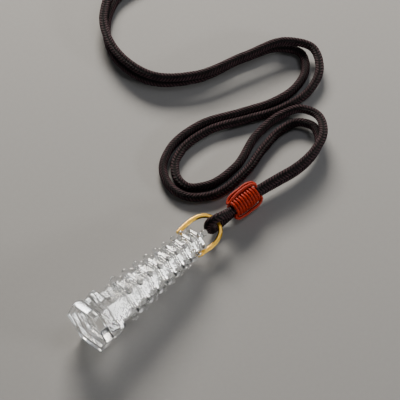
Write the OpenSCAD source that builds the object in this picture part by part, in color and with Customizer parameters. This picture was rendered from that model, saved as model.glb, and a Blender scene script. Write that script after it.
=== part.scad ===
// Faceted pagoda pendant of clear crystal, lying on its side on a looped neck cord.
// Row frame: +X runs along the tower towards its tip, +Z is up and the surface is at z = 0.

/* [Tower] */
// Corner radius of the foot block
foot_r = 7.5; // [7.4:0.02:7.5]
// Height of the foot block
foot_h = 2.7; // [2:0.1:3.5]
// Corner radius of the waist above the foot
waist_r = 6.4; // [5.5:0.1:6.8]
// Corner radius of the shoulder slab
shoulder_r = 7.1; // [6.5:0.1:7.1]
// Corner radius of the lowest storey
storey_r = 5.1; // [4.5:0.1:5.4]
// Distance from the foot's face to the first eave
first_eave = 13.1; // [12.5:0.1:14]
// Number of eaves
eaves = 9; // [7:1:9]
// Distance from the first eave to the second
eave_pitch = 3.9; // [3.6:0.05:4]
// Each distance between eaves against the one below it
pitch_ratio = 0.941; // [0.93:0.001:0.95]
// Radius at which the first eave carries its corner beads
eave_r = 5.8; // [5.5:0.05:6]
// Each eave's radius against the one below it
eave_ratio = 0.951; // [0.945:0.001:0.96]
// Radius of the first eave's corner beads
bead_r = 0.97; // [0.8:0.01:1]

/* [Bail] */
// Half of the bail's width at its widest
bail_half = 4.95; // [4.9:0.05:5.2]
// Height of the widest place above the pin
bail_rise = 3.8; // [3.5:0.1:4.2]
// Outer radius of the crown
crown_r = 4.5; // [4.4:0.1:4.7]
// Outer radius of the flanks, from the widest place up to the crown
flank_r = 9; // [8:0.5:10]
// Outer radius of the long curve of each leg
leg_r = 30; // [28:1:40]
// Width of the flat band
band_w = 1.25; // [1:0.05:1.3]
// Thickness of the flat band
band_t = 0.8; // [0.7:0.05:0.9]
// How far the legs run past the pin
foot_past = 0.75; // [0.6:0.05:0.75]
// Radius of the pin through the tower
pin_r = 0.25; // [0.2:0.05:0.3]

/* [Cord] */
// Diameter of the braided cord
cord_d = 2.5; // [2.3:0.1:2.5]

/* [Slide knot] */
// Diameter of the red thread it is wound from
thread_d = 0.88; // [0.84:0.02:0.92]
// Half of the winding's width
winding_r = 2.3; // [2.26:0.02:2.34]
// Number of turns round the two cords
turns = 10; // [8:1:12]

/* [Hidden] */

// How the tower lies: on one corner of its foot and the beads of its lowest eaves
dip = 3.62;           // the tip hangs this many degrees lower than the foot
roll = 13.5;          // turned this far from lying on a flat side
foot_x = -24;         // middle of the foot's face along X
axis_z = 7.351;       // height of the tower's axis at the foot's face

// Eave heights, radii and bead radii, first eave first
function eave_z(i) = first_eave + eave_pitch * (1 - pow(pitch_ratio, i)) / (1 - pitch_ratio);
function eave_at(i) = eave_r * pow(eave_ratio, i) * (i == eaves - 1 ? top_eave : 1);
function bead_at(i) = bead_r * pow(eave_ratio, i);
top_eave = 0.92;      // the last eave is narrower, clear of the bail
slab_h = 0.62;        // thickness of an eave's slab
course_h = 0.42;      // height of one stepped course
course_in = 0.45;     // how far one course steps in from the next
cap_in = 0.72;        // how far the course on top of the slab steps in
last_eave = eave_z(eaves - 1);
foot_bevel = 0.25;    // bevel round the foot's face
waist_top = 5.4;      // tops of the waist, the shoulder slab, the plinth and the lowest storey
shoulder_top = 7.1;
plinth_top = 7.9;
storey_top = 11.2;
plinth_out = 0.6;     // how far the plinth stands out from the storey
neck_r = 1.3;         // neck of the finial, its flared foot and the stem under the ball
neck_h = 2;
flare_r = 2.6;
flare_h = 1.4;
stem_r = 0.78;
finial_r = 0.95;      // ball at the tip
finial_z = last_eave + 3.4;

// Pin and bail, along the tower's axis
pin_z = (eave_z(eaves - 2) + last_eave) / 2;
pin_gap = 0.05;       // room round the pin in the crystal
rivet_gap = 0.01;     // room round the pin in the band
pin_short = 0.03;     // how far each end of the pin stays inside the band
bail_side = 0.35;     // the bail sits this far to one side on its pin
flank_lap = 0.5;      // how far the flanks run down into the legs

// Slide knot: centre, direction and lean of the pair of cords inside it
knot_at = [32.8, -0.46, 3.62];
knot_yaw = -3.7;
knot_lean = 10;
knot_len = 9;
cord_gap = 0.08;      // room between cord and knot
pair = 2.56;          // distance between the two cords in the knot
root_w = 0.85;        // width of a turn at its root and at its crest, in threads
crest_w = 0.5;
crest_h = 0.16;       // how far the crest stands out from the root
barrel = 0.22;        // how much slimmer the winding is at its ends
wound_to = 0.25;      // how far the winding sits to one side of the cords
binding_len = 8;
bindings = [[2.85, 2.06], [2.22, 3], [-2.36, -1.5]]; // places of the lengthwise threads over the turns

ring_up = [0.02, 0.03, 1];
cord_sides = 8;

// Route of the cord's centreline: x, y and height, one row for each ring of the tube
fold_pts = [
    [32.8, -0.68, 4.88], [28, -0.37, 4.88], [26.2, -0.4, 5.35], [24.6, -0.4, 6.2], [22.9, -0.25, 6.85],
    [21.5, 0.2, 6.6], [20.55, 0.65, 5.8], [20.15, 0.7, 4.75], [20.25, 0.6, 3.7], [20.6, 0.45, 2.75],
    [21.35, 0.4, 1.98], [22.6, 0.45, 1.55], [24.8, 0.35, 1.75], [28, 0.07, 2.36], [38.28, -0.59, 2.36]
];
lower_pts = [
    [44.5, -1.9, 2.4], [50, -2.9, 2.3], [56, -2.65, 2.25], [61.5, -0.5, 2.1], [64, 4, 1.9], [62, 8, 1.7],
    [57.5, 9.5, 1.4], [50.5, 9, 1.3], [41, 7, 1.3], [28.5, 8.5, 1.3], [24, 13, 1.3], [23.5, 19, 1.3],
    [26, 23.5, 1.3], [31.5, 26.5, 1.3], [42.5, 26.5, 1.3], [54.5, 21, 1.3], [62.5, 17.5, 1.3],
    [70.5, 16.5, 1.3], [76.5, 18.5, 1.3], [80, 23.5, 1.3], [77.5, 28.5, 1.3], [67.5, 33.5, 1.3],
    [53, 38, 1.3], [44, 46, 1.3], [43, 60.5, 1.3], [50, 70, 1.3], [57, 73.5, 1.3]
];
far_pts = [
    [66.5, 73, 1.3], [76.5, 70.5, 1.3], [88, 62.5, 1.3], [114, 35, 1.3], [119.6, 29.2, 1.3],
    [123.8, 27, 1.3], [128.2, 28.1, 1.3], [130.2, 32.2, 1.3], [128.6, 36.4, 1.3], [121.5, 43.9, 1.3],
    [94.5, 72, 1.3], [79.5, 80, 1.3], [64.5, 79.5, 2]
];
upper_pts = [
    [53.5, 74, 3.4], [48, 69.5, 3.8], [43, 59, 3.9], [44.5, 45.5, 3.9], [53, 37.5, 3.9], [67, 32.5, 4.1],
    [79, 27.5, 4], [82.5, 21.5, 3.3], [79, 15.5, 2.4], [72.5, 13, 1.7], [62, 14.5, 1.3], [53.5, 18.5, 1.3],
    [43, 23.5, 1.3], [33.5, 24, 1.3], [29, 22, 1.3], [26.5, 18.5, 1.3], [26.5, 14.5, 1.3], [30, 11.5, 1.3],
    [40, 10, 1.3], [51.5, 13, 1.6], [60.5, 12.5, 2.3], [65, 10, 3.1], [66.5, 5, 3.9], [62.7, -0.8, 4.9],
    [55.5, -3.15, 5], [49.5, -3.15, 5], [43.5, -2, 5], [38.28, -1.03, 4.88], [33.4, -0.72, 4.88]
];
route = concat(fold_pts, lower_pts, far_pts, upper_pts);

// The tower is built upright, foot down, corners on the X axis, and then laid down
module laid_down() {
    translate([foot_x, 0, axis_z])
        rotate([0, 90 + dip, 0])
            rotate([0, 0, 30 - roll])
                children();
}

module hex_slab(r, z0, z1) {
    translate([0, 0, z0])
        cylinder(r = r, h = z1 - z0, $fn = 6);
}

// A hexagonal block whose lower edge is bevelled
module foot_block() {
    hull() {
        hex_slab(foot_r - foot_bevel, 0, foot_bevel);
        hex_slab(foot_r, foot_bevel, foot_h);
    }
}

// The storey's wall, the stepped courses under and over the slab, and a bead on each corner
module eave(i) {
    z = eave_z(i);
    r = eave_at(i);
    below = i == 0 ? storey_top : eave_z(i - 1);
    wall_r = r - 3 * course_in;
    hex_slab(wall_r, below, z);
    hex_slab(r - 2 * course_in, z - slab_h / 2 - 2 * course_h, z);
    hex_slab(r - course_in, z - slab_h / 2 - course_h, z);
    hex_slab(r, z - slab_h / 2, z + slab_h / 2);
    hex_slab(r - cap_in, z, z + slab_h / 2 + course_h);
    for (k = [0:5])
        rotate([0, 0, 60 * k])
            translate([r, 0, z])
                sphere(r = bead_at(i), $fn = 24);
}

module finial() {
    translate([0, 0, last_eave])
        cylinder(r1 = flare_r, r2 = neck_r, h = flare_h, $fn = 32);
    translate([0, 0, last_eave])
        cylinder(r = neck_r, h = neck_h, $fn = 32);
    translate([0, 0, last_eave])
        cylinder(r = stem_r, h = finial_z - last_eave, $fn = 32);
    translate([0, 0, finial_z])
        sphere(r = finial_r, $fn = 32);
}

module pagoda() {
    color([0.9, 0.92, 0.93, 0.5])
        laid_down()
            difference() {
                union() {
                    foot_block();
                    hex_slab(waist_r, foot_h, waist_top);
                    hex_slab(shoulder_r, waist_top, shoulder_top);
                    hex_slab(storey_r + plinth_out, shoulder_top, plinth_top);
                    hex_slab(storey_r, plinth_top, storey_top);
                    for (i = [0:eaves - 1])
                        eave(i);
                    finial();
                }
                translate([0, 0, pin_z])
                    rotate([90, 0, 0])
                        cylinder(r = pin_r + pin_gap, h = 3 * eave_r, center = true, $fn = 32);
            }
}

// Outline of one edge of the band: two legs, two flanks and a crown, each tangent to the next
module bail_outline(inset) {
    flank_x = flank_r - bail_half;
    crown_up = sqrt(pow(flank_r - crown_r, 2) - pow(flank_x, 2));
    meet_z = bail_rise + crown_up * (flank_r - inset) / (flank_r - crown_r);
    translate([0, bail_rise + crown_up])
        circle(r = crown_r - inset, $fn = 128);
    both_sides(flank_x, flank_r - inset, bail_rise - flank_lap, meet_z);
    both_sides(leg_r - bail_half, leg_r - inset, -foot_past, bail_rise);
}

// What two large circles, one bulging to each side, share between two heights
module both_sides(centre_x, r, low, high) {
    intersection() {
        translate([-bail_half, low])
            square([2 * bail_half, high - low]);
        translate([-centre_x, bail_rise])
            circle(r = r, $fn = 200);
        translate([centre_x, bail_rise])
            circle(r = r, $fn = 200);
    }
}

module bail() {
    color([0.79, 0.6, 0.3])
        laid_down()
            translate([0, bail_side, pin_z])
                difference() {
                    rotate([90, 0, 90])
                        linear_extrude(height = band_t, center = true)
                            difference() {
                                bail_outline(0);
                                bail_outline(band_w);
                            }
                    rotate([90, 0, 0])
                        cylinder(r = pin_r + rivet_gap, h = 3 * bail_half, center = true, $fn = 32);
                }
}

module bail_pin() {
    half = bail_half - leg_r + sqrt(pow(leg_r, 2) - pow(bail_rise, 2));
    color([0.79, 0.6, 0.3])
        laid_down()
            translate([0, bail_side, pin_z])
                rotate([90, 0, 0])
                    cylinder(r = pin_r, h = 2 * (half - pin_short), center = true, $fn = 32);
}

// Places a shape whose axis is X and whose pair of cords is stacked along Z
module at_knot() {
    translate(knot_at)
        rotate([0, 0, knot_yaw])
            rotate([knot_lean, 0, 0])
                children();
}

// One turn of thread round the stacked pair, wider at its root than at its outer face
module turn(i) {
    from_middle = 2 * i / (turns - 1) - 1;
    r = winding_r - barrel * pow(from_middle, 2);
    for (step = [[root_w, crest_h], [crest_w, 0]])
        rotate([0, 90, 0])
            linear_extrude(height = step[0] * thread_d, center = true)
                slot_outline(r - step[1], wound_to);
}

// A lengthwise thread laid over the turns
module binding(y, z) {
    translate([-binding_len / 2, y, z])
        rotate([0, 90, 0])
            cylinder(r = thread_d / 2, h = binding_len, $fn = 16);
}

// A slot's outline round both cords, with its middle this far to one side of them
module slot_outline(r, aside) {
    translate([0, aside]) {
        for (s = [-1, 1])
            translate([s * pair / 2, 0])
                circle(r = r, $fn = 48);
        square([pair, 2 * r], center = true);
    }
}

module slide_knot() {
    hole_r = cord_d / 2 + cord_gap;
    pitch = (knot_len - thread_d) / (turns - 1);
    color([0.75, 0.2, 0.1])
        at_knot()
            difference() {
                union() {
                    rotate([0, 90, 0])
                        linear_extrude(height = knot_len - thread_d, center = true)
                            slot_outline(winding_r - thread_d / 2, wound_to);
                    for (i = [0:turns - 1])
                        translate([(i - (turns - 1) / 2) * pitch, 0, 0])
                            turn(i);
                    for (place = bindings)
                        binding(place.x, place.y);
                }
                rotate([0, 90, 0])
                    linear_extrude(height = 2 * knot_len, center = true)
                        slot_outline(hole_r, 0);
            }
}

// Round tube swept along the route: each ring stands square to the line through its neighbours,
// turned by a direction that no stretch of the route has
function unit(v) = v / norm(v);
function along(p, i) = unit(p[min(i + 1, len(p) - 1)] - p[max(i - 1, 0)]);
function ring(p, i, r, n) =
    let (t = along(p, i), s = unit(cross(ring_up, t)), u = cross(t, s))
    [for (k = [0:n - 1]) p[i] + r * (cos(360 * k / n) * s + sin(360 * k / n) * u)];

module tube(p, r, n) {
    rings = len(p);
    points = [for (i = [0:rings - 1]) each ring(p, i, r, n)];
    sides = [
        for (i = [0:rings - 2], k = [0:n - 1])
            [i * n + k, i * n + (k + 1) % n, (i + 1) * n + (k + 1) % n, (i + 1) * n + k]
    ];
    caps = [[for (k = [n - 1:-1:0]) k], [for (k = [0:n - 1]) (rings - 1) * n + k]];
    polyhedron(points = points, faces = concat(sides, caps), convexity = 10);
}

module neck_cord() {
    color([0.13, 0.09, 0.09])
        tube(route, cord_d / 2, cord_sides);
}

pagoda();
bail();
bail_pin();
slide_knot();
neck_cord();
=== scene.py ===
# Pagoda pendant: a tower carved from clear rock crystal, hung from a brass bail on a looped braided cord.
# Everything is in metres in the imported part's frame. Sizes below are in millimetres and go through mm.
import math

import bpy
import numpy as np
from mathutils import Matrix, Vector


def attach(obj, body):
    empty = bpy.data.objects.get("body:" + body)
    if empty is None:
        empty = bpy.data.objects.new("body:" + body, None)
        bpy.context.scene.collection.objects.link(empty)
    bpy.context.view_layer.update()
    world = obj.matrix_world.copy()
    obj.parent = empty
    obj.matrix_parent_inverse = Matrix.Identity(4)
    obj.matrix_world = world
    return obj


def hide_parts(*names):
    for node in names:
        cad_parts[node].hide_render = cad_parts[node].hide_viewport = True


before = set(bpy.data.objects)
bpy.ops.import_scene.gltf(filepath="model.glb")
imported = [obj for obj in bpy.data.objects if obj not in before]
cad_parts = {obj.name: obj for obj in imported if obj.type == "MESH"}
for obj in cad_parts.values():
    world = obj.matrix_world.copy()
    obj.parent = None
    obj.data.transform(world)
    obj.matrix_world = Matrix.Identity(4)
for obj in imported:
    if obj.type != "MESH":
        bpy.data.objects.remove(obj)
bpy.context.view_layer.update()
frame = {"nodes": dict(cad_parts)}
mm = 0.001
print("frame loaded:", ", ".join(frame["nodes"]))


# small helpers

def hexColour(text):
    # sRGB hex to the linear colour that the shader wants
    parts = [int(text[i:i + 2], 16) / 255 for i in (1, 3, 5)]
    linear = [c / 12.92 if c <= 0.04045 else ((c + 0.055) / 1.055) ** 2.4 for c in parts]
    return (*linear, 1.0)


def setInputs(tree, node, inputs):
    # an input is a value, another node or one of its output sockets
    for name, value in inputs.items():
        if isinstance(value, bpy.types.Node):
            value = value.outputs[0]
        if isinstance(value, bpy.types.NodeSocket):
            tree.links.new(value, node.inputs[name])
        else:
            node.inputs[name].default_value = value


def addNode(tree, kind, inputs=None, **settings):
    made = tree.nodes.new(kind)
    for name, value in settings.items():
        setattr(made, name, value)
    setInputs(tree, made, inputs or {})
    return made


def addObject(name, data):
    made = bpy.data.objects.new(name, data)
    bpy.context.scene.collection.objects.link(made)
    return made


def makeObject(name, verts, faces, smooth=True):
    mesh = bpy.data.meshes.new(name)
    mesh.from_pydata([tuple(v) for v in verts], [], faces)
    mesh.polygons.foreach_set("use_smooth", [smooth] * len(mesh.polygons))
    mesh.update()
    return addObject(name, mesh)


def aimAt(made, place, target):
    # puts a camera or lamp at one place in millimetres and turns it towards another
    made.location = Vector(place) * mm
    made.rotation_euler = (Vector(target) - Vector(place)).to_track_quat("-Z", "Y").to_euler()


def unit(v):
    return v / np.linalg.norm(v, axis=-1, keepdims=True)


def runAlong(points):
    # the distance along a line at each of its points
    return np.r_[0, np.cumsum(np.linalg.norm(np.diff(points, axis=0), axis=1))]


def smoothPath(points, step, cuts=40):
    # one smooth curve through all the points: each span is cut finely, then the whole at even steps
    p = np.array(points, float)
    d = np.linalg.norm(np.diff(p, axis=0), axis=1)
    slope = np.diff(p, axis=0) / d[:, None]
    inner = (slope[:-1] * d[1:, None] + slope[1:] * d[:-1, None]) / (d[1:] + d[:-1])[:, None]
    tangent = np.vstack([slope[:1], inner, slope[-1:]])
    t = np.linspace(0, 1, cuts, endpoint=False)[:, None]
    spans = []
    for i in range(len(p) - 1):
        spans.append((2 * t**3 - 3 * t**2 + 1) * p[i] + (t**3 - 2 * t**2 + t) * d[i] * tangent[i]
                     + (-2 * t**3 + 3 * t**2) * p[i + 1] + (t**3 - t**2) * d[i] * tangent[i + 1])
    fine = np.vstack(spans + [p[-1:]])
    run = runAlong(fine)
    count = max(2, round(run[-1] / step)) + 1
    at = np.linspace(0, run[-1], count)
    return np.stack([np.interp(at, run, fine[:, k]) for k in range(3)], -1), at


def carriedFrames(path, start):
    # side and up directions along a path that turn no more than the path does
    ahead = unit(np.gradient(path, axis=0))
    side = np.zeros_like(path)
    side[0] = unit(np.cross(np.cross(ahead[0], start), ahead[0]))
    for i in range(1, len(path)):
        side[i] = side[i - 1] - ahead[i] * (side[i - 1] @ ahead[i])
        side[i] /= np.linalg.norm(side[i])
    return side, np.cross(ahead, side)


def tubeFaces(rings, sides):
    # side faces and two end caps of a tube, normals outwards
    i, k = np.meshgrid(np.arange(rings - 1), np.arange(sides), indexing="ij")
    a, b = i * sides + k, i * sides + (k + 1) % sides
    faces = np.stack([a, b, b + sides, a + sides], -1).reshape(-1, 4).tolist()
    return faces + [list(range(sides))[::-1], list(range((rings - 1) * sides, rings * sides))]


def lathe(outline, sides):
    # the points of a turned shape, from its radius and height at each step
    ring = [2 * math.pi * k / sides for k in range(sides)]
    return [(r * math.cos(a), r * math.sin(a), z) for r, z in outline for a in ring]


# camera

shot = {
    "target": (26.44, 9.96, 0.0),          # the floor at the middle of the picture
    "place": (-165.3, -180.1, 427.9),
    "fieldDegrees": 12.0,
    "sensor": 36.0,
    "clip": (0.01, 10.0),                  # nearest and farthest distance drawn, in metres
}


def placeCamera():
    data = bpy.data.cameras.new("camera")
    data.sensor_width = shot["sensor"]
    data.lens = shot["sensor"] / 2 / math.tan(math.radians(shot["fieldDegrees"] / 2))
    data.clip_start, data.clip_end = shot["clip"]
    made = addObject("camera", data)
    aimAt(made, shot["place"], shot["target"])
    bpy.context.scene.camera = made


placeCamera()
print("camera placed")


# braided cord

neckCord = {
    "diameter": 2.5,
    "body": 1.195,           # mean radius of the braid; its ribs stand up to the full diameter
    "floor": 1.27,           # lowest height of the centreline
    "step": 0.2,             # distance between rings
    "sides": 24,
    "ribPitch": 0.85,        # one strand's crossing along the cord
    "columns": 4,            # columns of chevrons round the cord, each leaning against the next
    "lean": 1.5,             # how many pitches a rib climbs within its column
    "ribHeight": 0.11,
    "ribMean": 0.75,         # the ribs' mean share of their height, so that the body stays the mean
    "columnHeight": 0.06,
    "columnMean": 0.64,
    "seam": (-0.36, -0.36, 0.86),    # where a seam between two columns faces
    # the stretch inside the knot over which the cord is turned, from the route's start
    "turnedBy": (28.0, 38.0),
    # the route of part.scad, in millimetres: fold through the bail, lower strand, far end, upper strand
    "fold": [
        (32.8, -0.68, 4.88), (28, -0.37, 4.88), (26.2, -0.4, 5.35), (24.6, -0.4, 6.2),
        (22.9, -0.25, 6.85), (21.5, 0.2, 6.6), (20.55, 0.65, 5.8), (20.15, 0.7, 4.75),
        (20.25, 0.6, 3.7), (20.6, 0.45, 2.75), (21.35, 0.4, 1.98), (22.6, 0.45, 1.55),
        (24.8, 0.35, 1.75), (28, 0.07, 2.36), (38.28, -0.59, 2.36),
    ],
    "lower": [
        (44.5, -1.9, 2.4), (50, -2.9, 2.3), (56, -2.65, 2.25), (61.5, -0.5, 2.1), (64, 4, 1.9),
        (62, 8, 1.7), (57.5, 9.5, 1.4), (50.5, 9, 1.3), (41, 7, 1.3), (28.5, 8.5, 1.3), (24, 13, 1.3),
        (23.5, 19, 1.3), (26, 23.5, 1.3), (31.5, 26.5, 1.3), (42.5, 26.5, 1.3), (54.5, 21, 1.3),
        (62.5, 17.5, 1.3), (70.5, 16.5, 1.3), (76.5, 18.5, 1.3), (80, 23.5, 1.3), (77.5, 28.5, 1.3),
        (67.5, 33.5, 1.3), (53, 38, 1.3), (44, 46, 1.3), (43, 60.5, 1.3), (50, 70, 1.3), (57, 73.5, 1.3),
    ],
    "far": [
        (66.5, 73, 1.3), (76.5, 70.5, 1.3), (88, 62.5, 1.3), (114, 35, 1.3), (119.6, 29.2, 1.3),
        (123.8, 27, 1.3), (128.2, 28.1, 1.3), (130.2, 32.2, 1.3), (128.6, 36.4, 1.3), (121.5, 43.9, 1.3),
        (94.5, 72, 1.3), (79.5, 80, 1.3), (64.5, 79.5, 2),
    ],
    "upper": [
        (53.5, 74, 3.4), (48, 69.5, 3.8), (43, 59, 3.9), (44.5, 45.5, 3.9), (53, 37.5, 3.9),
        (67, 32.5, 4.1), (79, 27.5, 4), (82.5, 21.5, 3.3), (79, 15.5, 2.4), (72.5, 13, 1.7),
        (62, 14.5, 1.3), (53.5, 18.5, 1.3), (43, 23.5, 1.3), (33.5, 24, 1.3), (29, 22, 1.3),
        (26.5, 18.5, 1.3), (26.5, 14.5, 1.3), (30, 11.5, 1.3), (40, 10, 1.3), (51.5, 13, 1.6),
        (60.5, 12.5, 2.3), (65, 10, 3.1), (66.5, 5, 3.9), (62.7, -0.8, 4.9), (55.5, -3.15, 5),
        (49.5, -3.15, 5), (43.5, -2, 5), (38.28, -1.03, 4.88), (33.4, -0.72, 4.88),
    ],
}


def braidHeight(around, along):
    # ribs lean one way in one column and the other way in the next, as in a round eight-strand braid
    s = neckCord
    column = around * s["columns"]
    inside = column - np.floor(column)
    way = np.where(np.floor(column) % 2 == 0, 1.0, -1.0)
    rib = along / s["ribPitch"] + way * s["lean"] * (inside - 0.5)
    ribs = np.sqrt(np.abs(np.sin(np.pi * rib))) - s["ribMean"]
    crowns = np.sin(np.pi * inside) - s["columnMean"]
    return s["ribHeight"] * ribs + s["columnHeight"] * crowns


def seamTurn(path, along, side, up):
    # past the knot the cord is turned so that a seam between two columns stays on its upper side
    s = neckCord
    seam = np.array(s["seam"])
    ahead = unit(np.gradient(path, axis=0))
    wanted = seam - ahead * (ahead @ seam)[:, None]
    turn = np.unwrap(np.arctan2((wanted * up).sum(1), (wanted * side).sum(1)))
    columnTurn = 2 * math.pi / s["columns"]
    past = int(np.argmax(along > s["turnedBy"][1]))
    turn -= columnTurn * round(turn[past] / columnTurn)
    return turn * np.interp(along, s["turnedBy"], (0, 1))


def mapCord(mesh, along, sides):
    # u runs once round the cord and v along it in millimetres
    uv = mesh.uv_layers.new(name="UVMap")
    k = np.arange(sides)
    corners = np.stack([k, k + 1, k + 1, k], -1) / sides
    coords = []
    for here, there in zip(along, along[1:]):
        run = np.broadcast_to([here, here, there, there], corners.shape)
        coords.append(np.stack([corners, run], -1).reshape(-1, 2))
    caps = np.zeros((2 * sides, 2))
    uv.data.foreach_set("uv", np.vstack(coords + [caps]).ravel())


def makeCord():
    s = neckCord
    path, along = smoothPath(s["fold"] + s["lower"] + s["far"] + s["upper"], s["step"])
    path[:, 2] = np.maximum(path[:, 2], s["floor"])
    side, up = carriedFrames(path, np.array(s["seam"]))
    around = np.arange(s["sides"]) / s["sides"]
    u, v = np.meshgrid(around, along, indexing="xy")
    radius = s["body"] + braidHeight(u, v)
    angle = 2 * np.pi * u + seamTurn(path, along, side, up)[:, None]
    points = (path[:, None] + side[:, None] * (radius * np.cos(angle))[..., None]
              + up[:, None] * (radius * np.sin(angle))[..., None])
    made = makeObject("cordBraid", points.reshape(-1, 3) * mm, tubeFaces(len(path), s["sides"]))
    mapCord(made.data, along, s["sides"])
    return made, path


cord, cordPath = makeCord()
print("cord made:", round(float(runAlong(cordPath)[-1]), 1), "mm")


# sizes of the tower, foot down, corners on the X axis, before it is laid on its side
tower = {
    "footX": -24.0,          # where the middle of the foot's face is
    "axisHeight": 7.351,     # of the axis above the table, at the foot
    "dip": 3.62,             # the tip hangs this many degrees lower than the foot
    "roll": 13.5,            # degrees that it is turned round its axis
    "footRadius": 7.5,
    "footBevel": 0.25,
    "steps": [               # corner radius and top of each block from the foot up
        (7.5, 2.7), (6.4, 5.4), (7.1, 7.1), (5.7, 7.9), (5.1, 11.2),
    ],
    "eaves": 9,
    "firstEave": 13.1,       # height of its middle above the foot
    "eavePitch": 3.9,        # from there to the next, and each further pitch is smaller
    "pitchRatio": 0.941,
    "eaveRadius": 5.8,
    "eaveRatio": 0.951,
    "topEave": 0.92,         # the last eave is narrower, clear of the bail
    "slab": 0.62,            # thickness of an eave
    "course": 0.42,          # height of each stepped course under it, and of the one above
    "courseIn": 0.45,        # how much narrower each step down is
    "capIn": 0.72,           # and the course above
    "beadRadius": 0.97,
    "beadSegments": 24,
    "edge": 0.07,            # polished break on every carved edge
    "edgeShare": 0.3,        # of a short flat that its breaks may take at each end
    "cornerEdge": 0.16,      # the break down each corner of the hexagon
    "cornerShare": 0.05,     # and its limit, as a share of the radius
    "finial": [              # radius, and height above the last eave's middle
        (2.6, 0.2), (2.6, 0.35), (2.1, 0.62), (1.62, 0.95), (1.36, 1.35), (1.3, 1.8), (1.18, 2.0),
        (0.86, 2.1), (0.78, 2.3),
    ],
    "finialSides": 32,
    "ball": 0.95,            # radius of the ball at the tip
    "ballAbove": 3.4,        # height of its middle above the last eave's
    "ballSeat": 0.86,        # the neck goes up to this share of the radius below the middle
    "ballArc": (40, 176, 9),         # degrees from its lowest point: first, limit and step
    "pinHole": 0.3,
    "drillLength": 30.0,
    "drillSides": 24,
    "sharpDegrees": 26.0,    # edges that turn more than this stay sharp
    "frostLow": 0.1,         # the frosting starts this far below the storey's top
    "frostIn": 1.2,          # and lies this many courses' steps inside the eaves' edges
}


def eaveHeight(i):
    s = tower
    return s["firstEave"] + s["eavePitch"] * (1 - s["pitchRatio"] ** i) / (1 - s["pitchRatio"])


def eaveRadius(i):
    s = tower
    return s["eaveRadius"] * s["eaveRatio"] ** i * (s["topEave"] if i == s["eaves"] - 1 else 1)


lastEave = eaveHeight(tower["eaves"] - 1)
pinHeight = (eaveHeight(tower["eaves"] - 2) + lastEave) / 2
laidDown = (Matrix.Translation((tower["footX"], 0, tower["axisHeight"]))
            @ Matrix.Rotation(math.radians(90 + tower["dip"]), 4, "Y")
            @ Matrix.Rotation(math.radians(30 - tower["roll"]), 4, "Z"))


def settle(made, place):
    # puts a finished mesh where the pendant lies, with the object left at the origin
    made.data.transform(Matrix.Scale(mm, 4) @ place)
    made.data.update()
    return made


# Geometry Nodes: inputs are set by socket identifier, the result becomes a plain mesh
def newTree(name, sockets):
    tree = bpy.data.node_groups.new(name, "GeometryNodeTree")
    tree.interface.new_socket("Geometry", in_out="INPUT", socket_type="NodeSocketGeometry")
    tree.interface.new_socket("Geometry", in_out="OUTPUT", socket_type="NodeSocketGeometry")
    for label, kind in sockets:
        tree.interface.new_socket(label, in_out="INPUT", socket_type="NodeSocket" + kind)
    return tree, tree.nodes.new("NodeGroupInput").outputs, tree.nodes.new("NodeGroupOutput").inputs


def applyTree(made, tree, values):
    modifier = made.modifiers.new("shape", "NODES")
    modifier.node_group = tree
    sockets = {item.name: item.identifier for item in tree.interface.items_tree
               if item.in_out == "INPUT"}
    for label, value in values.items():
        modifier[sockets[label]] = value
    graph = bpy.context.evaluated_depsgraph_get()
    mesh = bpy.data.meshes.new_from_object(made.evaluated_get(graph), preserve_all_data_layers=True,
                                           depsgraph=graph)
    made.modifiers.clear()
    if made.type == "CURVE":
        # a curve object can't hold a mesh, so a new one takes over its name
        name = made.name
        bpy.data.objects.remove(made)
        return addObject(name, mesh)
    old = made.data
    made.data = mesh
    bpy.data.meshes.remove(old)
    return made


# materials: each dictionary has its colours and the settings of its patterns, whose scale is in marks
# to a millimetre and whose depth is in millimetres
def newMaterial(name):
    made = bpy.data.materials.new(name)
    made.use_nodes = True
    made.node_tree.nodes.clear()
    shader = addNode(made.node_tree, "ShaderNodeBsdfPrincipled")
    addNode(made.node_tree, "ShaderNodeOutputMaterial", {"Surface": shader})
    return made, made.node_tree, shader


quartz = {
    "tint": "#fdfefe",
    "ior": 1.544,
    "clear": 0.98,           # share of the light that enters at a polished flat
    "frostLoss": 0.12,       # how much less enters at a frosted spot
    "frostRough": 0.42,
    # lap marks 0.25 mm apart, as finer ones would not show
    "marks": {"Scale": 4.0 / mm, "Detail": 2.0, "Roughness": 0.6},
    "markRelief": {"Strength": 0.15, "Distance": 0.04 * mm},
    # parts of a flat, 1.4 mm across, that the lap left a little less glossy
    "patches": {"Scale": 0.7 / mm, "Detail": 1.0},
    "patchRough": {"From Min": 0.35, "From Max": 0.7, "To Min": 0.0, "To Max": 0.04},
    # frosted spots in the recesses, 0.6 mm across
    "spots": {"Scale": 1.7 / mm, "Detail": 3.0, "Roughness": 0.7},
    "spotRange": {"From Min": 0.44, "From Max": 0.6},
}


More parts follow.
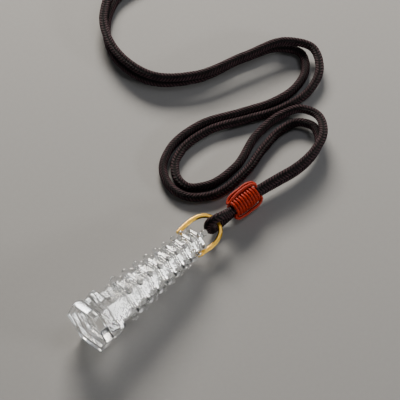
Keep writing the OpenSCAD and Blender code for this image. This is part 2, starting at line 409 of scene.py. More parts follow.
def rockCrystal():
    # clear quartz, carved and lapped: glassy flats, and recesses left frosted where the polishing
    # wheel can't reach
    s = quartz
    made, tree, shader = newMaterial("rockCrystalLapped")
    place = addNode(tree, "ShaderNodeTexCoord").outputs["Object"]
    dull = addNode(tree, "ShaderNodeAttribute", attribute_name="dullness")
    marks = addNode(tree, "ShaderNodeTexNoise", {"Vector": place, **s["marks"]})
    spots = addNode(tree, "ShaderNodeTexNoise", {"Vector": place, **s["spots"]})
    patches = addNode(tree, "ShaderNodeTexNoise", {"Vector": place, **s["patches"]})
    wide = addNode(tree, "ShaderNodeMapRange", {"Value": patches, **s["patchRough"]})
    ground = addNode(tree, "ShaderNodeMapRange", {"Value": spots, **s["spotRange"]})
    frost = addNode(tree, "ShaderNodeMath", {0: ground, 1: dull.outputs["Fac"]}, operation="MULTIPLY")
    rough = addNode(tree, "ShaderNodeMath", {0: frost, 1: s["frostRough"], 2: wide},
                    operation="MULTIPLY_ADD")
    clear = addNode(tree, "ShaderNodeMath", {0: frost, 1: -s["frostLoss"], 2: s["clear"]},
                    operation="MULTIPLY_ADD")
    bump = addNode(tree, "ShaderNodeBump", {"Height": marks, **s["markRelief"]})
    setInputs(tree, shader, {
        "Base Color": hexColour(s["tint"]), "IOR": s["ior"], "Transmission Weight": clear,
        "Roughness": rough, "Normal": bump})
    return made


brass = {
    "satin": {"light": "#e4b448", "dark": "#c09034", "rough": (0.24, 0.4), "strength": 0.5},
    "buffed": {"light": "#ffe07c", "dark": "#f4cc58", "rough": (0.14, 0.24), "strength": 0.15},
    # brush marks, 1.4 mm long and 0.06 mm apart
    "brush": (0.7, 16.0, 1.0),
    "marks": {"Scale": 1.0, "Detail": 3.0, "Roughness": 0.65},
    "markDepth": 0.03,
    "markRange": {"From Min": 0.3, "From Max": 0.7},
    "markShare": 0.6,        # of the marks in the tone, beside the blotches
    "blotches": {"Scale": 0.9, "Detail": 2.0},
    "toneRange": {"From Min": 0.55, "From Max": 1.05},
}


def lacqueredBrass(name, finish):
    # lacquered yellow brass: the satin face is brushed along the band, the rims are buffed
    s = brass
    made, tree, shader = newMaterial(name)
    run = addNode(tree, "ShaderNodeUVMap", uv_map="UVMap")
    stretch = addNode(tree, "ShaderNodeMapping", {"Vector": run, "Scale": s["brush"]})
    marks = addNode(tree, "ShaderNodeTexNoise", {"Vector": stretch, **s["marks"]})
    blotch = addNode(tree, "ShaderNodeTexNoise", {"Vector": run, **s["blotches"]})
    mixed = addNode(tree, "ShaderNodeMath", {0: marks, 1: s["markShare"], 2: blotch},
                    operation="MULTIPLY_ADD")
    share = addNode(tree, "ShaderNodeMapRange", {"Value": mixed, **s["toneRange"]})
    tone = addNode(tree, "ShaderNodeMix", {
        0: share, 6: hexColour(finish["dark"]), 7: hexColour(finish["light"])}, data_type="RGBA")
    rough = addNode(tree, "ShaderNodeMapRange", {
        "Value": marks, **s["markRange"], "To Min": finish["rough"][0], "To Max": finish["rough"][1]})
    bump = addNode(tree, "ShaderNodeBump", {
        "Strength": finish["strength"], "Distance": s["markDepth"] * mm, "Height": marks})
    setInputs(tree, shader, {
        "Base Color": tone.outputs[2], "Roughness": rough, "Normal": bump, "Metallic": 1.0})
    return made


cotton = {
    # painted shade: the near-black red goes where the fibre relief dips
    "grooveShade": "#3a0501",
    "crown": "#d03006",
    "fibres": 11,            # fibres seen round the thread
    "fibreShare": 0.25,      # of the fibres in the height, beside the fuzz
    "fibreRelief": {"Strength": 0.5, "Distance": 0.03 * mm},
    "fuzz": {"Scale": 9.0, "Detail": 3.0, "Roughness": 0.7},
    "toneRange": {"From Min": 0.15, "From Max": 0.85},
    "wax": {"Scale": 1.1, "Detail": 2.0},
    "waxRough": {"From Min": 0.3, "From Max": 0.7, "To Min": 0.38, "To Max": 0.62},
    "specular": 0.2,
}


def waxedThread():
    # waxed cotton, two plies: orange red, darker in the grooves as painted shade where the fibre relief
    # dips, and at random with the fuzz; a soft wax gloss
    s = cotton
    made, tree, shader = newMaterial("waxedCottonThread")
    run = addNode(tree, "ShaderNodeUVMap", uv_map="UVMap")
    split = addNode(tree, "ShaderNodeSeparateXYZ", {0: run})
    # fibres follow the plies: both climb once round the thread in one lay
    climb = addNode(tree, "ShaderNodeMath", {
        0: split.outputs["Y"], 1: 1 / knot["plyLay"], 2: split.outputs["X"]}, operation="MULTIPLY_ADD")
    turns = addNode(tree, "ShaderNodeMath", {0: climb, 1: 2 * math.pi * s["fibres"]},
                    operation="MULTIPLY")
    fibre = addNode(tree, "ShaderNodeMath", {0: turns}, operation="SINE")
    fuzz = addNode(tree, "ShaderNodeTexNoise", {"Vector": run, **s["fuzz"]})
    wax = addNode(tree, "ShaderNodeTexNoise", {"Vector": run, **s["wax"]})
    height = addNode(tree, "ShaderNodeMath", {0: fibre, 1: s["fibreShare"], 2: fuzz},
                     operation="MULTIPLY_ADD")
    # painted shade: the tone follows the fibre relief that the bump uses, so the dips get the darker red,
    # mixed with random fuzz
    share = addNode(tree, "ShaderNodeMapRange", {"Value": height, **s["toneRange"]})
    tone = addNode(tree, "ShaderNodeMix", {
        0: share, 6: hexColour(s["grooveShade"]), 7: hexColour(s["crown"])}, data_type="RGBA")
    rough = addNode(tree, "ShaderNodeMapRange", {"Value": wax, **s["waxRough"]})
    bump = addNode(tree, "ShaderNodeBump", {"Height": height, **s["fibreRelief"]})
    setInputs(tree, shader, {
        "Base Color": tone.outputs[2], "Roughness": rough, "Normal": bump,
        "Specular IOR Level": s["specular"]})
    return made


polyester = {
    # painted light: dark is the painted shade for the valleys between ribs and the seams between columns,
    # light is a painted highlight on the rib crowns
    "dark": "#030202",
    "light": "#6e4e54",
    "patchTone": "#120a0c",
    "patches": {"Scale": 0.35, "Detail": 1.0},
    "hairs": 7,              # filaments seen across one rib
    "hairShare": 0.07,       # of the filaments in the height, beside the ribs
    "fuzz": {"Scale": 6.0, "Detail": 3.0, "Roughness": 0.7},
    "fuzzShare": 0.3,
    "crownShape": 0.4,       # below 1, which leaves a narrow seam between two columns
    "toneRange": {"From Min": 0.74, "From Max": 1.16},
    "relief": {"Strength": 1.0, "Distance": 0.28 * mm},
    "rough": 0.66,
    "specular": 0.15,
    "sheen": 0.05,
    "sheenRough": 0.4,
    "sheenTint": "#b08a93",
}


def braidedCord():
    # polyester braid, dark brown with a faint mauve sheen where the light grazes the filaments; its colour
    # also carries painted light: a lighter mauve on the rib crowns as a painted highlight, and near-black
    # in the valleys and seams as painted shade
    s = polyester
    made, tree, shader = newMaterial("braidedPolyester")
    run = addNode(tree, "ShaderNodeUVMap", uv_map="UVMap")
    split = addNode(tree, "ShaderNodeSeparateXYZ", {0: run})
    known = {"u": split.outputs["X"], "v": split.outputs["Y"]}
    # the same ribs as in braidHeight, with filaments across them; a row has a name, its operation and
    # its two inputs, each a name from above or a number
    for name, operation, a, b in [
            ("column", "MULTIPLY", "u", neckCord["columns"]),
            ("inside", "FRACT", "column", 0),
            ("floor", "FLOOR", "column", 0),
            ("parity", "MODULO", "floor", 2),
            ("double", "MULTIPLY", "parity", -2),
            ("way", "ADD", "double", 1),
            ("offset", "SUBTRACT", "inside", 0.5),
            ("leant", "MULTIPLY", "offset", "way"),
            ("climb", "MULTIPLY", "leant", neckCord["lean"]),
            ("pitch", "DIVIDE", "v", neckCord["ribPitch"]),
            ("rib", "ADD", "pitch", "climb"),
            ("ribTurn", "MULTIPLY", "rib", math.pi),
            ("ribWave", "SINE", "ribTurn", 0),
            ("ribs", "ABSOLUTE", "ribWave", 0),
            ("hairTurn", "MULTIPLY", "rib", 2 * math.pi * s["hairs"]),
            ("hair", "SINE", "hairTurn", 0),
            ("crownTurn", "MULTIPLY", "inside", math.pi),
            ("crownWave", "SINE", "crownTurn", 0),
            ("crown", "POWER", "crownWave", s["crownShape"]),
            ("relief", "MULTIPLY", "ribs", "crown")]:
        known[name] = addNode(tree, "ShaderNodeMath", {0: known.get(a, a), 1: known.get(b, b)},
                              operation=operation)
    fuzz = addNode(tree, "ShaderNodeTexNoise", {"Vector": run, **s["fuzz"]})
    patch = addNode(tree, "ShaderNodeTexNoise", {"Vector": run, **s["patches"]})
    height = addNode(tree, "ShaderNodeMath", {0: known["hair"], 1: s["hairShare"], 2: known["relief"]},
                     operation="MULTIPLY_ADD")
    uneven = addNode(tree, "ShaderNodeMath", {0: fuzz, 1: s["fuzzShare"], 2: height},
                     operation="MULTIPLY_ADD")
    # painted highlight and painted shade: the relief that drives the bump also sets the tone, light mauve
    # on the rib crowns and near-black in the valleys and seams, with random fuzz mixed in
    share = addNode(tree, "ShaderNodeMapRange", {"Value": uneven, **s["toneRange"]})
    tone = addNode(tree, "ShaderNodeMix", {0: share, 6: hexColour(s["dark"]), 7: hexColour(s["light"])},
                   data_type="RGBA")
    warm = addNode(tree, "ShaderNodeMix", {0: patch, 6: tone.outputs[2], 7: hexColour(s["patchTone"])},
                   data_type="RGBA")
    bump = addNode(tree, "ShaderNodeBump", {"Height": uneven, **s["relief"]})
    setInputs(tree, shader, {
        "Base Color": warm.outputs[2], "Roughness": s["rough"], "Normal": bump,
        "Specular IOR Level": s["specular"], "Sheen Weight": s["sheen"],
        "Sheen Roughness": s["sheenRough"], "Sheen Tint": hexColour(s["sheenTint"])})
    return made


# tower: a stack of hexagonal blocks and eaves, with a bead on each corner of each eave
def towerOutline():
    # corner radius and height of each step, foot first
    s = tower
    foot = s["footRadius"]
    steps = [(foot - s["footBevel"], 0), (foot, s["footBevel"])]
    for radius, top in s["steps"]:
        steps += [(radius, steps[-1][1]), (radius, top)]
    for i in range(s["eaves"]):
        radius = eaveRadius(i)
        low, high = eaveHeight(i) - s["slab"] / 2, eaveHeight(i) + s["slab"] / 2
        # the wall and two courses, then the slab with a course on top
        for k in (3, 2, 1):
            inner = radius - k * s["courseIn"]
            steps += [(inner, steps[-1][1]), (inner, low - (k - 1) * s["course"])]
        steps += [(radius, low), (radius, high), (radius - s["capIn"], high),
                  (radius - s["capIn"], high + s["course"])]
    # steps of no length are left out
    kept = [steps[0]]
    for point in steps[1:]:
        if math.dist(point, kept[-1]) > 1e-6:
            kept.append(point)
    return kept


def breakEdges(points, edge):
    # each corner of the outline becomes a narrow flat, as on a polished edge
    out = [points[0]]
    for before, here, after in zip(points, points[1:], points[2:]):
        for other in (before, after):
            gap = math.dist(here, other)
            share = min(edge, tower["edgeShare"] * gap) / gap
            out.append((here[0] + (other[0] - here[0]) * share, here[1] + (other[1] - here[1]) * share))
    return out + [points[-1]]


def hexagonRing(radius, z, edge):
    # twelve points: each of the six corners is cut off by its edge's break
    ring = []
    angles = [math.radians(60 * k) for k in range(6)]
    corners = [radius * np.array([math.cos(a), math.sin(a)]) for a in angles]
    for k in range(6):
        here, before, after = corners[k], corners[k - 1], corners[(k + 1) % 6]
        for other in (before, after):
            x, y = here + unit(other - here) * edge
            ring.append((x, y, z))
    return ring


def finialOutline():
    # radius and height of the turned cone above the last eave, its neck and its ball
    s = tower
    middle = lastEave + s["ballAbove"]
    outline = [(radius, lastEave + above) for radius, above in s["finial"]]
    outline.append((outline[-1][0], middle - s["ball"] * s["ballSeat"]))
    for degrees in range(*s["ballArc"]):
        a = math.radians(degrees)
        outline.append((s["ball"] * math.sin(a), middle - s["ball"] * math.cos(a)))
    return outline


def beadTree():
    # puts a bead on each corner of each eave, joins all to the body and drills the pin's hole
    tree, take, result = newTree("cornerBeads", [
        ("Eaves", "Int"), ("First Eave", "Float"), ("Pitch", "Float"), ("Pitch Ratio", "Float"),
        ("Radius", "Float"), ("Radius Ratio", "Float"), ("Top Eave", "Float"), ("Bead", "Float"),
        ("Segments", "Int"), ("Pin Height", "Float"), ("Pin Hole", "Float"), ("Material", "Material"),
    ])
    known = {
        "eaves": take["Eaves"], "first": take["First Eave"], "pitch": take["Pitch"],
        "ratio": take["Pitch Ratio"], "radius": take["Radius"], "radiusRatio": take["Radius Ratio"],
        "topEave": take["Top Eave"], "segments": take["Segments"],
        "index": addNode(tree, "GeometryNodeInputIndex"),
    }
    for name, operation, a, b in [
            ("count", "MULTIPLY", "eaves", 6),
            ("sixth", "DIVIDE", "index", 6), ("eave", "FLOOR", "sixth", 0),
            ("before", "MULTIPLY", "eave", 6), ("corner", "SUBTRACT", "index", "before"),
            ("angle", "MULTIPLY", "corner", math.radians(60)),
            ("power", "POWER", "ratio", "eave"), ("left", "SUBTRACT", 1.0, "power"),
            ("less", "SUBTRACT", 1.0, "ratio"), ("rise", "DIVIDE", "left", "less"),
            ("up", "MULTIPLY", "pitch", "rise"), ("height", "ADD", "first", "up"),
            ("shrink", "POWER", "radiusRatio", "eave"), ("last", "SUBTRACT", "eaves", 1),
            ("isTop", "COMPARE", "eave", "last"), ("cutBack", "SUBTRACT", "topEave", 1.0),
            ("change", "MULTIPLY", "isTop", "cutBack"), ("narrow", "ADD", 1.0, "change"),
            ("full", "MULTIPLY", "radius", "shrink"), ("out", "MULTIPLY", "full", "narrow"),
            ("cos", "COSINE", "angle", 0), ("sin", "SINE", "angle", 0),
            ("x", "MULTIPLY", "out", "cos"), ("y", "MULTIPLY", "out", "sin"),
            ("rings", "DIVIDE", "segments", 2)]:
        known[name] = addNode(tree, "ShaderNodeMath", {0: known.get(a, a), 1: known.get(b, b)},
                              operation=operation)
    line = addNode(tree, "GeometryNodeMeshLine", {"Count": known["count"]})
    place = addNode(tree, "ShaderNodeCombineXYZ", {"X": known["x"], "Y": known["y"], "Z": known["height"]})
    points = addNode(tree, "GeometryNodeSetPosition", {"Geometry": line, "Position": place})
    bead = addNode(tree, "GeometryNodeMeshUVSphere", {
        "Segments": take["Segments"], "Rings": known["rings"], "Radius": take["Bead"]})
    beads = addNode(tree, "GeometryNodeInstanceOnPoints", {
        "Points": points, "Instance": bead, "Scale": known["shrink"]})
    solid = addNode(tree, "GeometryNodeRealizeInstances", {0: beads})
    union = addNode(tree, "GeometryNodeMeshBoolean", {"Self Intersection": True},
                    operation="UNION", solver="EXACT")
    tree.links.new(take["Geometry"], union.inputs["Mesh 2"])
    tree.links.new(solid.outputs[0], union.inputs["Mesh 2"])
    drill = addNode(tree, "GeometryNodeMeshCylinder", {
        "Vertices": tower["drillSides"], "Radius": take["Pin Hole"], "Depth": tower["drillLength"]})
    lift = addNode(tree, "ShaderNodeCombineXYZ", {"Z": take["Pin Height"]})
    across = addNode(tree, "GeometryNodeTransform", {
        "Geometry": drill, "Translation": lift, "Rotation": (math.pi / 2, 0, 0)})
    bored = addNode(tree, "GeometryNodeMeshBoolean", {"Mesh 1": union, "Mesh 2": across},
                    operation="DIFFERENCE", solver="EXACT")
    whole = addNode(tree, "GeometryNodeRealizeInstances", {0: bored})
    painted = addNode(tree, "GeometryNodeSetMaterial", {"Geometry": whole, "Material": take["Material"]})
    tree.links.new(painted.outputs[0], result[0])
    return tree


def markRecesses(mesh):
    # the walls and courses under each eave keep the frosting of the carving
    s = tower
    place = np.zeros(len(mesh.vertices) * 3)
    mesh.vertices.foreach_get("co", place)
    x, y, z = place.reshape(-1, 3).T
    # distance out, measured so that each hexagon has its corner radius all round
    flats = np.radians(np.arange(30, 390, 60))
    out = np.max([x * math.cos(a) + y * math.sin(a) for a in flats], axis=0) / math.cos(math.radians(30))
    eaves = range(s["eaves"])
    edge = np.interp(z, [eaveHeight(i) for i in eaves], [eaveRadius(i) for i in eaves])
    low = s["steps"][-1][1] - s["frostLow"]
    carved = (z > low) & (z < lastEave) & (out < edge - s["frostIn"] * s["courseIn"])
    dull = mesh.attributes.new("dullness", "FLOAT", "POINT")
    dull.data.foreach_set("value", carved.astype(float))


def makeTower():
    s = tower
    outline = breakEdges(towerOutline(), s["edge"])
    verts = []
    for radius, z in outline:
        verts += hexagonRing(radius, z, min(s["cornerEdge"], s["cornerShare"] * radius))
    faces = tubeFaces(len(outline), 12)
    finial = finialOutline()
    start = len(verts)
    verts += lathe(finial, s["finialSides"])
    faces += [[start + i for i in face] for face in tubeFaces(len(finial), s["finialSides"])]
    made = applyTree(makeObject("crystalTower", verts, faces, smooth=False), beadTree(), {
        "Eaves": s["eaves"], "First Eave": s["firstEave"], "Pitch": s["eavePitch"],
        "Pitch Ratio": s["pitchRatio"], "Radius": s["eaveRadius"], "Radius Ratio": s["eaveRatio"],
        "Top Eave": s["topEave"], "Bead": s["beadRadius"], "Segments": s["beadSegments"],
        "Pin Height": pinHeight, "Pin Hole": s["pinHole"], "Material": rockCrystal(),
    })
    mesh = made.data
    mesh.polygons.foreach_set("use_smooth", [True] * len(mesh.polygons))
    mesh.set_sharp_from_angle(angle=math.radians(s["sharpDegrees"]))
    markRecesses(mesh)
    return settle(made, laidDown)


# bail: a flat band with buffed rims, bent to an arch on two legs, and the pin through them
bail = {
    "half": 4.95,            # from the middle to the band's outer side at its widest
    "rise": 3.8,             # height of that place above the pin
    "crown": 4.5,            # outer radii of the arch's top, of its flanks and of the legs
    "flank": 9.0,
    "leg": 30.0,
    "cuts": (14, 12, 22),    # along a leg, a flank and half the top
    "width": 1.25,
    "thickness": 0.8,
    "footPast": 0.75,        # the legs go on past the pin
    "side": 0.35,            # the band lies this far to one side of the tower's middle
    "rim": 0.38,             # radius of the polished rims
    "rimSteps": 5,
    "ends": [(0.12, 0.0), (0.035, 0.035), (0.0, 0.12)],    # how much smaller and how far in
    "satinFrom": 0.8,        # faces turned at least this much to the front or back are satin
    "sharpDegrees": 40.0,
    "pinRadius": 0.25,
    "pinSides": 24,
    "pinSharpDegrees": 35.0,
    "headSunk": 0.02,        # how far the heads' undersides are let into the legs
    "headRadius": 0.38,
    "headHeight": 0.12,
    "headShape": [(1.0, 0.0), (1.0, 0.4), (0.7, 0.85)],    # shares of its radius and height
    "headTip": 0.05,         # radius of the small flat on top
}


def bailLine(inset):
    # one side of the band's outline from the foot of a leg to the top, then the other side down
    s = bail
    legX, flankX = s["leg"] - s["half"], s["flank"] - s["half"]
    crownUp = math.sqrt((s["flank"] - s["crown"]) ** 2 - flankX ** 2)
    turn = math.atan2(crownUp, flankX)
    start = -math.asin((s["rise"] + s["footPast"]) / (s["leg"] - s["half"] / 2))
    # each arc's centre, outer radius and angles
    arcs = [(-legX, s["rise"], s["leg"], start, 0),
            (-flankX, s["rise"], s["flank"], 0, turn),
            (0, s["rise"] + crownUp, s["crown"], turn, math.pi / 2)]
    points = []
    for (cx, cz, outer, first, last), cuts in zip(arcs, s["cuts"]):
        r = outer - inset
        for a in np.linspace(first, last, cuts, endpoint=False):
            points.append((cx + r * math.cos(a), cz + r * math.sin(a)))
    points.append((0, s["rise"] + crownUp + s["crown"] - inset))
    return np.array(points + [(-x, z) for x, z in points[-2::-1]])


def roundedSection(width, height, radius, steps):
    # points round a rectangle with rounded corners
    out = []
    for sx, sy, a0 in ((1, 1, 0), (-1, 1, 90), (-1, -1, 180), (1, -1, 270)):
        for k in range(steps + 1):
            a = math.radians(a0 + 90 * k / steps)
            out.append((sx * (width / 2 - radius) + radius * math.cos(a),
                        sy * (height / 2 - radius) + radius * math.sin(a)))
    return np.array(out)


def bailRings(last):
    # for each ring its place on the line, how much smaller and how far moved along; both ends are rounded
    ends = bail["ends"]
    return ([(0, shrink, inward) for shrink, inward in ends]
            + [(i, 0, 0) for i in range(1, last)]
            + [(last, shrink, -inward) for shrink, inward in ends[::-1]])


def makeBail(satin, buffed):
    s = bail
    middle = bailLine(s["width"] / 2)
    along = unit(np.gradient(middle, axis=0))
    outward = np.stack([-along[:, 1], along[:, 0]], -1)
    if outward[0] @ middle[0] < 0:
        outward = -outward
    section = roundedSection(s["width"], s["thickness"], s["rim"], s["rimSteps"])
    rings = bailRings(len(middle) - 1)
    verts = []
    for i, shrink, inward in rings:
        scale = np.array([1 - 2 * shrink / s["width"], 1 - 2 * shrink / s["thickness"]])
        centre = middle[i] + along[i] * inward
        for w, t in section * scale:
            x, z = centre + outward[i] * w
            verts.append((t, x + s["side"], z + pinHeight))
    sides = len(section)
    made = makeObject("bailBand", verts, tubeFaces(len(rings), sides))
    # u runs along the band and v round it, in millimetres
    uv = made.data.uv_layers.new(name="UVMap")
    run = runAlong(middle)
    girth = runAlong(np.vstack([section, section[:1]]))
    loops = []
    for a, b in zip(rings, rings[1:]):
        here, there = run[a[0]], run[b[0]]
        for k in range(sides):
            loops += [(here, girth[k]), (here, girth[k + 1]), (there, girth[k + 1]), (there, girth[k])]
    loops += [(0.0, g) for g in girth[:-1]] * 2
    uv.data.foreach_set("uv", np.array(loops).ravel())
    made.data.materials.append(satin)
    made.data.materials.append(buffed)
    for face in made.data.polygons:
        face.material_index = 0 if abs(face.normal.x) > s["satinFrom"] else 1
    made.data.set_sharp_from_angle(angle=math.radians(s["sharpDegrees"]))
    return settle(made, laidDown)


def makePin(metal):
    # plain pin through both legs, its ends peened into low heads
    s = bail
    legX = s["leg"] - s["half"]
    # the legs' outer side at the pin's height
    half = math.sqrt(s["leg"] ** 2 - s["rise"] ** 2) - legX
    low = half - s["headSunk"]
    profile = [(s["pinRadius"], -low), (s["pinRadius"], low)]
    profile += [(share * s["headRadius"], low + up * s["headHeight"]) for share, up in s["headShape"]]
    profile.append((s["headTip"], low + s["headHeight"]))
    profile = [(r, -z) for r, z in profile[:1:-1]] + profile
    made = makeObject("bailPin", lathe(profile, s["pinSides"]), tubeFaces(len(profile), s["pinSides"]))
    made.data.transform(Matrix.Rotation(math.pi / 2, 4, "X"))
    made.data.transform(Matrix.Translation((0, s["side"], pinHeight)))
    made.data.materials.append(metal)
    made.data.uv_layers.new(name="UVMap")
    made.data.set_sharp_from_angle(angle=math.radians(s["pinSharpDegrees"]))
    return settle(made, laidDown)


# slide knot: one thread wound round both strands, with lengthwise threads over the turns
knot = {
    "place": (32.8, -0.46, 3.62),
    "yaw": -3.7,
    "lean": 10.0,
    "length": 9.0,
    "thread": 0.88,
    "winding": 2.3,          # outer radius of the turns round each strand's middle
    "aside": 0.25,           # the winding's middle lies this far to one side of the cords
    "barrel": 0.22,          # how much slimmer it is at its ends
    "slant": 0.55,           # how far the turns lean towards the bail on the upper side
    "upper": 17.0,           # degrees from the pair's own upright to the side seen from above
    "turns": 9,
    "pair": 2.56,            # distance between the two strands of cord in it
    "plyLay": 1.3,           # length over which a ply goes once round the thread
    "plyDepth": 0.05,
    "sides": 14,
    "step": 0.16,            # distance between rings
    "looseRadius": 0.42,     # of the threads laid over the turns
    # those threads: a doubled one on one side, a single one on the other
    "doubled": [
        (4.2, 0.7, 1.7), (4.65, 1.5, 1.9), (4.3, 2.45, 2.0), (3.1, 3.0, 2.2), (0, 3.12, 2.25),
        (-2.9, 3.02, 2.05), (-4.1, 2.6, 1.8), (-4.75, 1.95, 1.8), (-4.6, 1.5, 2.3), (-3.7, 1.8, 2.75),
        (-2, 2.15, 3.0), (0, 2.3, 3.1), (2.2, 2.2, 3.05), (3.7, 1.85, 2.75), (4.3, 1.2, 2.4),
        (4.1, 0.7, 2.0),
    ],
    "single": [
        (-4.1, -1.2, -0.3), (-4.6, -1.7, -0.7), (-4.2, -2.15, -1.1), (-2.8, -2.45, -1.4),
        (0, -2.52, -1.45), (2.8, -2.45, -1.4), (4.2, -2.05, -1.1), (4.6, -1.55, -0.7), (4.3, -1.2, -0.3),
    ],
}
atKnot = (Matrix.Translation(knot["place"])
          @ Matrix.Rotation(math.radians(knot["yaw"]), 4, "Z")
          @ Matrix.Rotation(math.radians(knot["lean"]), 4, "X"))


def threadTree():
    # gives a line the round section of a thread of two twisted plies
    tree, take, result = newTree("plyThread", [
        ("Radius", "Float"), ("Sides", "Int"), ("Lay", "Float"), ("Depth", "Float"),
        ("Material", "Material"),
    ])
    length = addNode(tree, "GeometryNodeSplineParameter").outputs["Length"]
    line = addNode(tree, "GeometryNodeCaptureAttribute", {"Geometry": take["Geometry"]})
    line.capture_items.new("FLOAT", "along")
    tree.links.new(length, line.inputs["along"])
    circle = addNode(tree, "GeometryNodeCurvePrimitiveCircle", {
        "Resolution": take["Sides"], "Radius": take["Radius"]})
    share = addNode(tree, "GeometryNodeSplineParameter").outputs["Factor"]
    ring = addNode(tree, "GeometryNodeCaptureAttribute", {"Geometry": circle.outputs[0]})
    ring.capture_items.new("FLOAT", "around")
    tree.links.new(share, ring.inputs["around"])
    tube = addNode(tree, "GeometryNodeCurveToMesh", {
        "Curve": line.outputs[0], "Profile Curve": ring.outputs[0], "Fill Caps": True})
    known = {"along": line.outputs["along"], "around": ring.outputs["around"],
             "lay": take["Lay"], "depth": take["Depth"]}
    # two plies: the surface dips twice round the thread and the dips climb along it
    for name, operation, a, b in [
            ("lays", "DIVIDE", "along", "lay"),
            ("climb", "ADD", "around", "lays"),
            ("turn", "MULTIPLY", "climb", 2 * math.pi),
            ("wave", "COSINE", "turn", 0),
            ("ply", "ABSOLUTE", "wave", 0),
            ("dip", "SUBTRACT", "ply", 1.0),
            ("inward", "MULTIPLY", "dip", "depth")]:
        known[name] = addNode(tree, "ShaderNodeMath", {0: known.get(a, a), 1: known.get(b, b)},
                              operation=operation)
    normal = addNode(tree, "GeometryNodeInputNormal")
    shift = addNode(tree, "ShaderNodeVectorMath", {0: normal, "Scale": known["inward"]}, operation="SCALE")
    moved = addNode(tree, "GeometryNodeSetPosition", {"Geometry": tube, "Offset": shift})
    place = addNode(tree, "ShaderNodeCombineXYZ", {"X": known["around"], "Y": known["along"]})
    mapped = addNode(tree, "GeometryNodeStoreNamedAttribute", {
        "Geometry": moved, "Name": "UVMap", "Value": place}, data_type="FLOAT2", domain="CORNER")
    smooth = addNode(tree, "GeometryNodeSetShadeSmooth", {"Geometry": mapped})
    whole = addNode(tree, "GeometryNodeRealizeInstances", {0: smooth})
    painted = addNode(tree, "GeometryNodeSetMaterial", {"Geometry": whole, "Material": take["Material"]})
    tree.links.new(painted.outputs[0], result[0])
    return tree


def windingPath():
    # round the stacked pair go two half circles and two straights, slimmer at the knot's ends
    s = knot
    half = (s["length"] - s["thread"]) / 2
    reach = s["winding"] - s["thread"] / 2
    straight, arc = s["pair"], math.pi * reach
    girth = 2 * (arc + straight)
    samples = round(girth / s["step"])
    tilt = math.radians(s["upper"])
    turns = []
    for k in range(samples * s["turns"] + 1):
        run = (k / samples % 1) * girth
        x = half * (2 * k / samples / s["turns"] - 1)
        r = reach - s["barrel"] * (x / half) ** 2
        if run < straight:
            y, z = r, run - straight / 2
        elif run < straight + arc:
            a = (run - straight) / reach
            y, z = r * math.cos(a), straight / 2 + r * math.sin(a)
        elif run < 2 * straight + arc:
            y, z = -r, straight * 1.5 + arc - run
        else:
            a = (run - 2 * straight - arc) / reach
            y, z = -r * math.cos(a), -straight / 2 - r * math.sin(a)
        seen = (z * math.cos(tilt) - y * math.sin(tilt)) / (straight / 2 + reach)
        turns.append((x - s["slant"] * max(seen, 0), y + s["aside"], z))
    return np.array(turns)


def makeKnot():
    s = knot
    tree = threadTree()
    thread = waxedThread()
    threads = [("knotTurns", windingPath(), s["thread"] / 2),
               ("knotDoubledThread", smoothPath(s["doubled"], s["step"])[0], s["looseRadius"]),
               ("knotSingleThread", smoothPath(s["single"], s["step"])[0], s["looseRadius"])]
    made = []
    for name, path, radius in threads:
        curve = bpy.data.curves.new(name, "CURVE")
        curve.dimensions = "3D"
        spline = curve.splines.new("POLY")
        spline.points.add(len(path) - 1)
        spline.points.foreach_set("co", np.c_[path, np.ones(len(path))].ravel())
        piece = applyTree(addObject(name, curve), tree, {
            "Radius": radius, "Sides": s["sides"], "Lay": s["plyLay"], "Depth": s["plyDepth"],
            "Material": thread})
        made.append(settle(piece, atKnot))
    return made


satinBrass = lacqueredBrass("satinBrass", brass["satin"])
buffedBrass = lacqueredBrass("buffedBrass", brass["buffed"])
cord.data.materials.append(braidedCord())
crystal = makeTower()
print("tower made:", len(crystal.data.polygons), "faces")
band = makeBail(satinBrass, buffedBrass)
pin = makePin(buffedBrass)
print("bail made")
knotPieces = makeKnot()
print("knot made:", sum(len(p.data.polygons) for p in knotPieces), "faces")


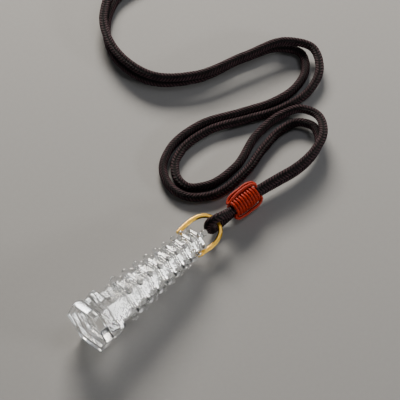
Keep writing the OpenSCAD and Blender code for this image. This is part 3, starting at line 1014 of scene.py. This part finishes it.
# pale table and soft studio light
studio = {
    "table": "#9f9e9c",
    "tableMottle": "#9a9997",
    "tablePattern": {"Scale": 0.9 / mm, "Detail": 3.0},
    "tableRough": 0.75,
    "tableSize": 3000.0,
    "worldColour": (0.82, 0.86, 0.92, 1.0),
    "horizon": 3.0,                            # strength of the world low down and overhead
    "zenith": 0.03,
    "horizonTop": 0.12,                        # sine of the height at which the glow ends
    "lamps": [
        # name, place in mm, aims at mm, width and height in mm, power in watts, colour
        ("windowLight", (375, 420, 290), (30, 15, 0), (240, 180), 6.3, "#fff8ee"),
        ("rimLight", (247, 499, 252), (20, 0, 8), (90, 60), 0.8, "#fff8ee"),
        ("topLight", (255, -60, 440), (20, 5, 5), (190, 190), 0.34, "#f4f6ff"),
        ("rightLight", (250, -470, 175), (0, 0, 5), (110, 45), 0.9, "#ffffff"),
        ("frontStrip", (-330, -380, 90), (0, 0, 5), (360, 120), 0.2, "#ffffff"),
        ("leftStrip", (-420, 100, 90), (0, 10, 5), (300, 120), 0.25, "#ffffff"),
    ],
}


def makeTable():
    s = studio
    half = s["tableSize"] / 2 * mm
    corners = [(-half, -half, 0), (half, -half, 0), (half, half, 0), (-half, half, 0)]
    made = makeObject("table", corners, [[0, 1, 2, 3]], smooth=False)
    paint, tree, shader = newMaterial("paleTable")
    # matt painted board: a faint mottle about 1 mm across, nothing that reads as a pattern
    place = addNode(tree, "ShaderNodeTexCoord").outputs["Object"]
    mottle = addNode(tree, "ShaderNodeTexNoise", {"Vector": place, **s["tablePattern"]})
    tone = addNode(tree, "ShaderNodeMix", {
        0: mottle, 6: hexColour(s["table"]), 7: hexColour(s["tableMottle"])}, data_type="RGBA")
    setInputs(tree, shader, {"Base Color": tone.outputs[2], "Roughness": s["tableRough"]})
    made.data.materials.append(paint)


def makeLights():
    world = bpy.data.worlds.new("studio")
    bpy.context.scene.world = world
    world.use_nodes = True
    tree = world.node_tree
    # white walls glow low down, the ceiling is dark
    coords = addNode(tree, "ShaderNodeTexCoord")
    way = addNode(tree, "ShaderNodeSeparateXYZ", {0: coords.outputs["Generated"]})
    glow = addNode(tree, "ShaderNodeMapRange", {
        "Value": way.outputs["Z"], "From Min": 0.0, "From Max": studio["horizonTop"],
        "To Min": studio["horizon"], "To Max": studio["zenith"]})
    setInputs(tree, tree.nodes["Background"], {"Color": studio["worldColour"], "Strength": glow})
    for name, place, target, size, power, colour in studio["lamps"]:
        data = bpy.data.lights.new(name, "AREA")
        data.shape = "RECTANGLE"
        data.size, data.size_y = size[0] * mm, size[1] * mm
        data.energy = power
        data.color = hexColour(colour)[:3]
        aimAt(addObject(name, data), place, target)


makeTable()
makeLights()
print("table and lights made")

# what each piece stands for
for piece, nodeName, slotName in ((cord, "neck_cord", "cord_braid"), (crystal, "pagoda", "crystal"),
                                  (band, "bail", "bail_metal"), (pin, "bail_pin", "bail_metal"),
                                  *[(p, "slide_knot", "knot_thread") for p in knotPieces]):
    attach(piece, "root")
    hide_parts(nodeName)
